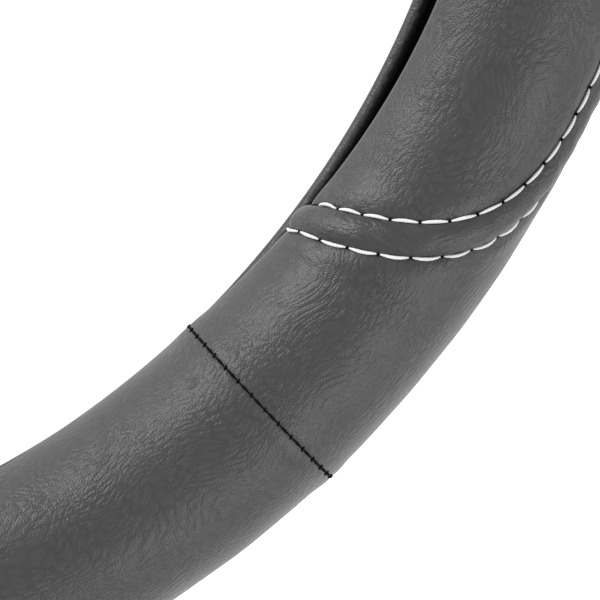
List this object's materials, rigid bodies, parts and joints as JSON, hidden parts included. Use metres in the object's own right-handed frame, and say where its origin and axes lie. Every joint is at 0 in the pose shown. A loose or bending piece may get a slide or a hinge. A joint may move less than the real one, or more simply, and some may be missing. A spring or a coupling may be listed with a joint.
{
  "type": "steering wheel cover",
  "caption": "Slip-on ring cover for a steering wheel: a C-shaped rubber ring wrapped in stitched dark leather, with a padded strip that curves round each grip.",
  "frame": {"origin": "centre of the ring, on the surface that the cover lies on", "axes": "+Z along the ring's axis, toward its front face; +X toward 3 o'clock and +Y toward 12 o'clock, seen from the front"},
  "size_m": [0.3794, 0.3794, 0.0361],
  "materials": {
    "core": "matt moulded rubber",
    "leather": "dark grey grained synthetic leather, semi-matt",
    "strip": "dark grey grained synthetic leather over padding"
  },
  "bodies": {
    "root": {"core_right": "core", "core_top": "core", "core_left": "core", "core_bottom": "core", "bottom_panel": "leather", "top_panel": "leather", "right_inlay": "leather", "right_strip": "strip", "right_back_panel": "leather", "left_inlay": "leather", "left_strip": "strip", "left_back_panel": "leather"}
  },
  "joints": []
}
